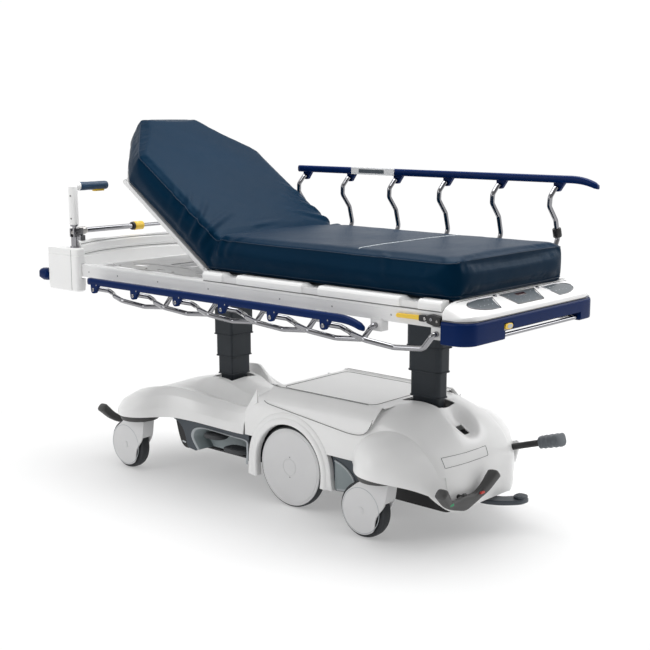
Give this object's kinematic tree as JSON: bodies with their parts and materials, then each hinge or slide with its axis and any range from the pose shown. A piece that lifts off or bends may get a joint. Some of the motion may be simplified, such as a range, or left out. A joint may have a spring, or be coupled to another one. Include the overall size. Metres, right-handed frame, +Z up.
{
  "type": "stretcher trolley",
  "caption": "Wheeled patient stretcher with telescoping lift columns, folding backrest and side rails, push handles and foot pedals.",
  "frame": {"origin": "on the floor under the middle of the overall box", "axes": "+X towards the foot end, +Y towards the side whose rail is raised at rest, +Z up"},
  "size_m": [2.161, 0.8983, 1.4042],
  "materials": {
    "white_shell": "satin moulded cover",
    "white_frame": "white powder coat",
    "slate_column": "slate grey satin",
    "dark_frame": "black paint",
    "slate_plastic": "slate grey",
    "dark_plastic": "charcoal",
    "tyre": "rubber",
    "chrome": "polished",
    "royal_blue": "gloss",
    "yellow": "gloss",
    "touch_panel": "grey film",
    "vinyl": "coated fabric cover"
  },
  "bodies": {
    "base": {"chassis": "dark_frame", "hood_head": "white_shell", "hood_foot": "white_shell", "hood_lid": "white_shell", "side_skirts": "slate_plastic", "caster_collars": "dark_plastic", "column_feet": "slate_column"},
    "column_stage_2": {"column_stage_2": "slate_column"},
    "column_stage_3": {"column_stage_3": "slate_column"},
    "lift_foot": {"column_top_foot": "slate_column"},
    "lift_head": {"column_top_head": "slate_column"},
    "litter": {"litter_frame": "white_frame", "seat_deck": "white_shell", "foot_cover": "white_shell", "bumpers": "royal_blue", "touch_panels": "touch_panel", "fittings": "chrome", "head_end": "white_shell", "mattress_seat": "vinyl"},
    "backrest": {"backrest_frame": "white_frame", "mattress_back": "vinyl"},
    "rail_spindle_near_1": {"rail_spindle_near_1": "chrome"},
    "rail_spindle_near_2": {"rail_spindle_near_2": "chrome"},
    "rail_spindle_near_3": {"rail_spindle_near_3": "chrome"},
    "rail_spindle_near_4": {"rail_spindle_near_4": "chrome"},
    "rail_spindle_near_5": {"rail_spindle_near_5": "chrome"},
    "rail_spindle_near_6": {"rail_spindle_near_6": "chrome"},
    "side_rail_near": {"side_rail_near": "royal_blue"},
    "rail_latch_near": {"rail_latch_near": "yellow"},
    "rail_spindle_far_1": {"rail_spindle_far_1": "chrome"},
    "rail_spindle_far_2": {"rail_spindle_far_2": "chrome"},
    "rail_spindle_far_3": {"rail_spindle_far_3": "chrome"},
    "rail_spindle_far_4": {"rail_spindle_far_4": "chrome"},
    "rail_spindle_far_5": {"rail_spindle_far_5": "chrome"},
    "rail_spindle_far_6": {"rail_spindle_far_6": "chrome"},
    "side_rail_far": {"side_rail_far": "royal_blue"},
    "rail_latch_far": {"rail_latch_far": "yellow"},
    "caster_fork_head_near": {"caster_fork_head_near": "white_shell"},
    "caster_wheel_head_near": {"caster_wheel_head_near": "tyre"},
    "caster_fork_head_far": {"caster_fork_head_far": "white_shell"},
    "caster_wheel_head_far": {"caster_wheel_head_far": "tyre"},
    "caster_fork_foot_near": {"caster_fork_foot_near": "white_shell"},
    "caster_wheel_foot_near": {"caster_wheel_foot_near": "tyre"},
    "caster_fork_foot_far": {"caster_fork_foot_far": "white_shell"},
    "caster_wheel_foot_far": {"caster_wheel_foot_far": "tyre"},
    "big_wheel_near": {"big_wheel_near": "white_shell"},
    "big_wheel_far": {"big_wheel_far": "white_shell"},
    "steer_pedal_foot": {"steer_pedal_foot": "dark_plastic"},
    "steer_pedal_head": {"steer_pedal_head": "dark_plastic"},
    "pump_pedal": {"pump_pedal": "dark_plastic"},
    "release_pedal": {"release_pedal": "slate_plastic"},
    "side_pump_pedals": {"side_pump_pedals": "slate_plastic"},
    "side_release_pedals": {"side_release_pedals": "slate_plastic"},
    "push_handle_near": {"push_handle_near": "white_shell"},
    "handle_trigger_near": {"handle_trigger_near": "yellow"},
    "push_handle_far": {"push_handle_far": "white_shell"},
    "handle_trigger_far": {"handle_trigger_far": "yellow"},
    "drip_pole_tube": {"drip_pole_tube": "chrome"},
    "drip_pole_rod": {"drip_pole_rod": "chrome"},
    "foot_latch": {"foot_latch": "yellow"}
  },
  "joints": [
    {"name": "litter_lift", "type": "slide", "parent": "base", "child": "lift_foot", "axis": [0, 0, 1], "range_m": [-0.305, 0]},
    {"name": "stage_2_travel", "type": "slide", "parent": "base", "child": "column_stage_2", "axis": [0, 0, 1], "range_m": [-0.21, 0]},
    {"name": "stage_3_travel", "type": "slide", "parent": "base", "child": "column_stage_3", "axis": [0, 0, 1], "range_m": [-0.11, 0]},
    {"name": "litter_tilt", "type": "hinge", "parent": "lift_foot", "child": "litter", "pos_m": [0.65, 0, 0.79], "axis": [0, -1, 0], "range_deg": [0, 10]},
    {"name": "head_jack", "type": "slide", "parent": "lift_foot", "child": "lift_head", "axis": [0, 0, 1], "range_m": [-0.178, 0]},
    {"name": "backrest_fold", "type": "hinge", "parent": "litter", "child": "backrest", "pos_m": [-0.127, 0, 0.838], "axis": [0, 1, 0], "range_deg": [-34.5, 55.5]},
    {"name": "spindle_near_1", "type": "hinge", "parent": "litter", "child": "rail_spindle_near_1", "pos_m": [-0.2525, -0.36, 0.757], "axis": [0, 1, 0], "range_deg": [0, 82.8]},
    {"name": "spindle_near_2", "type": "hinge", "parent": "litter", "child": "rail_spindle_near_2", "pos_m": [-0.011, -0.36, 0.757], "axis": [0, 1, 0], "range_deg": [0, 82.8]},
    {"name": "spindle_near_3", "type": "hinge", "parent": "litter", "child": "rail_spindle_near_3", "pos_m": [0.2305, -0.36, 0.757], "axis": [0, 1, 0], "range_deg": [0, 82.8]},
    {"name": "spindle_near_4", "type": "hinge", "parent": "litter", "child": "rail_spindle_near_4", "pos_m": [0.472, -0.36, 0.757], "axis": [0, 1, 0], "range_deg": [0, 82.8]},
    {"name": "spindle_near_5", "type": "hinge", "parent": "litter", "child": "rail_spindle_near_5", "pos_m": [0.7135, -0.36, 0.757], "axis": [0, 1, 0], "range_deg": [0, 82.8]},
    {"name": "spindle_near_6", "type": "hinge", "parent": "litter", "child": "rail_spindle_near_6", "pos_m": [0.955, -0.36, 0.757], "axis": [0, 1, 0], "range_deg": [0, 82.8]},
    {"name": "rail_level_near", "type": "hinge", "parent": "rail_spindle_near_1", "child": "side_rail_near", "pos_m": [-0.66725, -0.428, 0.74252], "axis": [0, 1, 0], "range_deg": [-82.8, 0]},
    {"name": "latch_near", "type": "hinge", "parent": "litter", "child": "rail_latch_near", "pos_m": [0.91, -0.375, 0.8], "axis": [0, 1, 0], "range_deg": [0, 20], "stiffness_Nm_per_rad": 2, "springref_deg": -11.46},
    {"name": "spindle_far_1", "type": "hinge", "parent": "litter", "child": "rail_spindle_far_1", "pos_m": [-0.2525, 0.36, 0.757], "axis": [0, -1, 0], "range_deg": [0, 82.8]},
    {"name": "spindle_far_2", "type": "hinge", "parent": "litter", "child": "rail_spindle_far_2", "pos_m": [-0.011, 0.36, 0.757], "axis": [0, -1, 0], "range_deg": [0, 82.8]},
    {"name": "spindle_far_3", "type": "hinge", "parent": "litter", "child": "rail_spindle_far_3", "pos_m": [0.2305, 0.36, 0.757], "axis": [0, -1, 0], "range_deg": [0, 82.8]},
    {"name": "spindle_far_4", "type": "hinge", "parent": "litter", "child": "rail_spindle_far_4", "pos_m": [0.472, 0.36, 0.757], "axis": [0, -1, 0], "range_deg": [0, 82.8]},
    {"name": "spindle_far_5", "type": "hinge", "parent": "litter", "child": "rail_spindle_far_5", "pos_m": [0.7135, 0.36, 0.757], "axis": [0, -1, 0], "range_deg": [0, 82.8]},
    {"name": "spindle_far_6", "type": "hinge", "parent": "litter", "child": "rail_spindle_far_6", "pos_m": [0.955, 0.36, 0.757], "axis": [0, -1, 0], "range_deg": [0, 82.8]},
    {"name": "rail_level_far", "type": "hinge", "parent": "rail_spindle_far_1", "child": "side_rail_far", "pos_m": [-0.31885, 0.428, 1.16666], "axis": [0, -1, 0], "range_deg": [-82.8, 0]},
    {"name": "latch_far", "type": "hinge", "parent": "litter", "child": "rail_latch_far", "pos_m": [0.91, 0.375, 0.8], "axis": [0, 1, 0], "range_deg": [0, 20], "stiffness_Nm_per_rad": 2, "springref_deg": -11.46},
    {"name": "swivel_head_near", "type": "hinge", "parent": "base", "child": "caster_fork_head_near", "pos_m": [-0.57, -0.3, 0.21], "axis": [0, 0, 1], "continuous": true},
    {"name": "roll_head_near", "type": "hinge", "parent": "caster_fork_head_near", "child": "caster_wheel_head_near", "pos_m": [-0.632, -0.3, 0.098], "axis": [0, 1, 0], "continuous": true},
    {"name": "swivel_head_far", "type": "hinge", "parent": "base", "child": "caster_fork_head_far", "pos_m": [-0.57, 0.3, 0.21], "axis": [0, 0, 1], "continuous": true},
    {"name": "roll_head_far", "type": "hinge", "parent": "caster_fork_head_far", "child": "caster_wheel_head_far", "pos_m": [-0.632, 0.3, 0.098], "axis": [0, 1, 0], "continuous": true},
    {"name": "swivel_foot_near", "type": "hinge", "parent": "base", "child": "caster_fork_foot_near", "pos_m": [0.675, -0.3, 0.21], "axis": [0, 0, 1], "continuous": true},
    {"name": "roll_foot_near", "type": "hinge", "parent": "caster_fork_foot_near", "child": "caster_wheel_foot_near", "pos_m": [0.613, -0.3, 0.098], "axis": [0, 1, 0], "continuous": true},
    {"name": "swivel_foot_far", "type": "hinge", "parent": "base", "child": "caster_fork_foot_far", "pos_m": [0.675, 0.3, 0.21], "axis": [0, 0, 1], "continuous": true},
    {"name": "roll_foot_far", "type": "hinge", "parent": "caster_fork_foot_far", "child": "caster_wheel_foot_far", "pos_m": [0.613, 0.3, 0.098], "axis": [0, 1, 0], "continuous": true},
    {"name": "roll_big_near", "type": "hinge", "parent": "base", "child": "big_wheel_near", "pos_m": [0.207, -0.229, 0.15], "axis": [0, 1, 0], "continuous": true},
    {"name": "roll_big_far", "type": "hinge", "parent": "base", "child": "big_wheel_far", "pos_m": [0.207, 0.229, 0.15], "axis": [0, 1, 0], "continuous": true},
    {"name": "steer_foot", "type": "hinge", "parent": "base", "child": "steer_pedal_foot", "pos_m": [0.918, -0.15, 0.165], "axis": [1, 0, 0], "range_deg": [-15, 15]},
    {"name": "steer_head", "type": "hinge", "parent": "base", "child": "steer_pedal_head", "pos_m": [-0.79, -0.15, 0.165], "axis": [1, 0, 0], "range_deg": [-15, 15]},
    {"name": "pump_stroke", "type": "hinge", "parent": "base", "child": "pump_pedal", "pos_m": [0.76, 0.25, 0.228], "axis": [0, 1, 0], "range_deg": [0, 14], "stiffness_Nm_per_rad": 25, "springref_deg": -14.32},
    {"name": "release_stroke", "type": "hinge", "parent": "base", "child": "release_pedal", "pos_m": [0.8, 0.06, 0.1], "axis": [0, 1, 0], "range_deg": [0, 8], "stiffness_Nm_per_rad": 25, "springref_deg": -14.32},
    {"name": "side_pump_stroke", "type": "hinge", "parent": "base", "child": "side_pump_pedals", "pos_m": [-0.17, 0, 0.196], "axis": [0, -1, 0], "range_deg": [0, 10], "stiffness_Nm_per_rad": 12, "springref_deg": -14.32},
    {"name": "side_release_stroke", "type": "hinge", "parent": "base", "child": "side_release_pedals", "pos_m": [-0.052, 0, 0.16], "axis": [0, -1, 0], "range_deg": [0, 10], "stiffness_Nm_per_rad": 12, "springref_deg": -14.32},
    {"name": "handle_fold_near", "type": "hinge", "parent": "litter", "child": "push_handle_near", "pos_m": [-0.89, -0.352, 0.947], "axis": [-1, 0, 0], "range_deg": [0, 90]},
    {"name": "trigger_near", "type": "slide", "parent": "push_handle_near", "child": "handle_trigger_near", "axis": [0, 0, 1], "range_m": [0, 0.003], "stiffness_N_per_m": 600, "springref_m": -0.002},
    {"name": "handle_fold_far", "type": "hinge", "parent": "litter", "child": "push_handle_far", "pos_m": [-0.89, 0.352, 0.947], "axis": [1, 0, 0], "range_deg": [0, 90]},
    {"name": "trigger_far", "type": "slide", "parent": "push_handle_far", "child": "handle_trigger_far", "axis": [0, 0, 1], "range_m": [0, 0.003], "stiffness_N_per_m": 600, "springref_m": -0.002},
    {"name": "drip_pole_raise", "type": "hinge", "parent": "litter", "child": "drip_pole_tube", "pos_m": [-0.945, -0.29, 0.947], "axis": [1, 0, 0], "range_deg": [0, 90]},
    {"name": "drip_pole_extend", "type": "slide", "parent": "drip_pole_tube", "child": "drip_pole_rod", "axis": [0, 1, 0], "range_m": [0, 0.22]},
    {"name": "foot_latch_press", "type": "slide", "parent": "litter", "child": "foot_latch", "axis": [-1, 0, 0], "range_m": [0, 0.004], "stiffness_N_per_m": 600, "springref_m": -0.002}
  ],
  "couplings": [
    {"joint": "stage_2_travel", "follows": "litter_lift", "ratio": 0.66667},
    {"joint": "stage_3_travel", "follows": "litter_lift", "ratio": 0.33333},
    {"joint": "head_jack", "follows": "litter_tilt", "m_per_rad": -0.99007},
    {"joint": "spindle_near_2", "follows": "spindle_near_1", "ratio": 1},
    {"joint": "spindle_near_3", "follows": "spindle_near_1", "ratio": 1},
    {"joint": "spindle_near_4", "follows": "spindle_near_1", "ratio": 1},
    {"joint": "spindle_near_5", "follows": "spindle_near_1", "ratio": 1},
    {"joint": "spindle_near_6", "follows": "spindle_near_1", "ratio": 1},
    {"joint": "rail_level_near", "follows": "spindle_near_1", "ratio": -1},
    {"joint": "spindle_far_2", "follows": "spindle_far_1", "ratio": 1},
    {"joint": "spindle_far_3", "follows": "spindle_far_1", "ratio": 1},
    {"joint": "spindle_far_4", "follows": "spindle_far_1", "ratio": 1},
    {"joint": "spindle_far_5", "follows": "spindle_far_1", "ratio": 1},
    {"joint": "spindle_far_6", "follows": "spindle_far_1", "ratio": 1},
    {"joint": "rail_level_far", "follows": "spindle_far_1", "ratio": -1},
    {"joint": "steer_head", "follows": "steer_foot", "ratio": 1}
  ]
}
